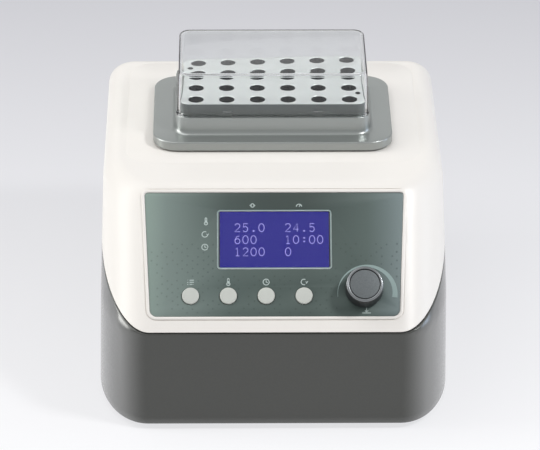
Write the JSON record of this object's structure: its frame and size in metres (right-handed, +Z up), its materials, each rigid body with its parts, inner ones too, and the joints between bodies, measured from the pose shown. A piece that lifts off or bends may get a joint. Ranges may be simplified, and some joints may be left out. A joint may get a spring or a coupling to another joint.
{
  "type": "thermal mixer",
  "caption": "Bench shaker with a heated tube block in an orbiting collar, clear lid, sloping control panel with display, buttons and dial.",
  "frame": {"origin": "middle of the footprint on the bench", "axes": "+Z up, the control slope faces -Y, +X to the right seen from the front"},
  "size_m": [0.23, 0.27, 0.1924],
  "materials": {
    "white_shell": "smooth satin moulding",
    "dark_shell": "satin metallic paint",
    "overlay": "fine grain printed film",
    "window": "clear window",
    "display": "lit display",
    "button_cap": "fine satin",
    "dial_grey": "satin",
    "collar_silver": "satin silver paint",
    "block_metal": "fine milled",
    "aluminium": "milled",
    "clear_plastic": "clear polished",
    "steel": "bright zinc",
    "black_plastic": "fine texture",
    "panel_black": "powder coat",
    "rubber": "dull",
    "brass": "turned",
    "board": "circuit board",
    "ceramic": "plain",
    "foam": "insulating foam"
  },
  "bodies": {
    "chassis": {"lower_housing": "dark_shell", "upper_housing": "white_shell", "base_plate": "steel", "rubber_feet": "rubber", "foot_screws": "steel", "housing_screws": "steel", "rear_panel": "panel_black", "rear_panel_screws": "steel", "fan_frame": "black_plastic", "fan_screws": "steel", "power_inlet": "black_plastic", "rocker_frame": "black_plastic", "power_supply": "steel", "main_board": "board", "board_standoffs": "brass", "drive_posts": "steel", "drive_plate": "aluminium", "drive_screws": "steel", "motor": "panel_black", "main_bearing": "steel", "idler_bearings": "steel", "control_overlay": "overlay", "display_window": "window", "display_module": "display", "control_board": "board", "board_screws": "steel", "tact_switches": "black_plastic", "encoder_body": "steel", "encoder_nut": "steel"},
    "crank": {"crank_shaft": "steel", "counterweight": "brass", "counterweight_screws": "steel"},
    "platform": {"shaker_platform": "aluminium", "platform_bearings": "steel", "heat_sink": "aluminium", "peltier_modules": "ceramic", "heat_spreader": "aluminium", "temperature_sensor": "steel", "insulation_frame": "foam", "platform_posts": "steel", "collar": "collar_silver", "collar_screws": "steel", "tube_block": "block_metal", "block_screws": "steel"},
    "lid": {"clear_lid": "clear_plastic"},
    "idler_left": {"idler_crank_left": "steel"},
    "idler_right": {"idler_crank_right": "steel"},
    "idler_front": {"idler_crank_front": "steel"},
    "dial_push": {"encoder_plunger": "brass"},
    "dial": {"encoder_shaft": "steel", "dial_knob": "dial_grey", "dial_cap": "dial_grey"},
    "key_1": {"button_1": "button_cap"},
    "key_2": {"button_2": "button_cap"},
    "key_3": {"button_3": "button_cap"},
    "key_4": {"button_4": "button_cap"},
    "fan": {"fan_rotor": "black_plastic"},
    "rocker": {"power_rocker": "black_plastic"}
  },
  "joints": [
    {"name": "crank_spin", "type": "hinge", "parent": "chassis", "child": "crank", "pos_m": [0, 0.032, 0.062], "axis": [0, 0, 1], "continuous": true},
    {"name": "platform_orbit", "type": "hinge", "parent": "crank", "child": "platform", "pos_m": [0, 0.0335, 0.0775], "axis": [0, 0, 1], "continuous": true},
    {"name": "lid_lift", "type": "slide", "parent": "platform", "child": "lid", "axis": [0, 0, 1], "range_m": [0, 0.07]},
    {"name": "idler_left_spin", "type": "hinge", "parent": "chassis", "child": "idler_left", "pos_m": [-0.058, 0.064, 0.0555], "axis": [0, 0, 1], "continuous": true},
    {"name": "idler_right_spin", "type": "hinge", "parent": "chassis", "child": "idler_right", "pos_m": [0.058, 0.064, 0.0555], "axis": [0, 0, 1], "continuous": true},
    {"name": "idler_front_spin", "type": "hinge", "parent": "chassis", "child": "idler_front", "pos_m": [0, -0.012, 0.0555], "axis": [0, 0, 1], "continuous": true},
    {"name": "dial_press", "type": "slide", "parent": "chassis", "child": "dial_push", "axis": [0, 0.7071, -0.7071], "range_m": [0, 0.0008], "stiffness_N_per_m": 3000, "springref_m": -0.0003},
    {"name": "dial_turn", "type": "hinge", "parent": "dial_push", "child": "dial", "pos_m": [0.0576, -0.11894, 0.09746], "axis": [0, 0.7071, -0.7071], "continuous": true},
    {"name": "button_1_press", "type": "slide", "parent": "chassis", "child": "key_1", "axis": [0, 0.7071, -0.7071], "range_m": [0, 0.0006], "stiffness_N_per_m": 3000, "springref_m": -0.0002},
    {"name": "button_2_press", "type": "slide", "parent": "chassis", "child": "key_2", "axis": [0, 0.7071, -0.7071], "range_m": [0, 0.0006], "stiffness_N_per_m": 3000, "springref_m": -0.0002},
    {"name": "button_3_press", "type": "slide", "parent": "chassis", "child": "key_3", "axis": [0, 0.7071, -0.7071], "range_m": [0, 0.0006], "stiffness_N_per_m": 3000, "springref_m": -0.0002},
    {"name": "button_4_press", "type": "slide", "parent": "chassis", "child": "key_4", "axis": [0, 0.7071, -0.7071], "range_m": [0, 0.0006], "stiffness_N_per_m": 3000, "springref_m": -0.0002},
    {"name": "fan_spin", "type": "hinge", "parent": "chassis", "child": "fan", "pos_m": [0.048, 0.121, 0.044], "axis": [0, 1, 0], "continuous": true},
    {"name": "rocker_tip", "type": "hinge", "parent": "chassis", "child": "rocker", "pos_m": [-0.054, 0.12696, 0.06], "axis": [1, 0, 0], "range_deg": [-18, 0]}
  ],
  "couplings": [
    {"joint": "platform_orbit", "follows": "crank_spin", "ratio": -1},
    {"joint": "idler_left_spin", "follows": "crank_spin", "ratio": 1},
    {"joint": "idler_right_spin", "follows": "crank_spin", "ratio": 1},
    {"joint": "idler_front_spin", "follows": "crank_spin", "ratio": 1}
  ]
}
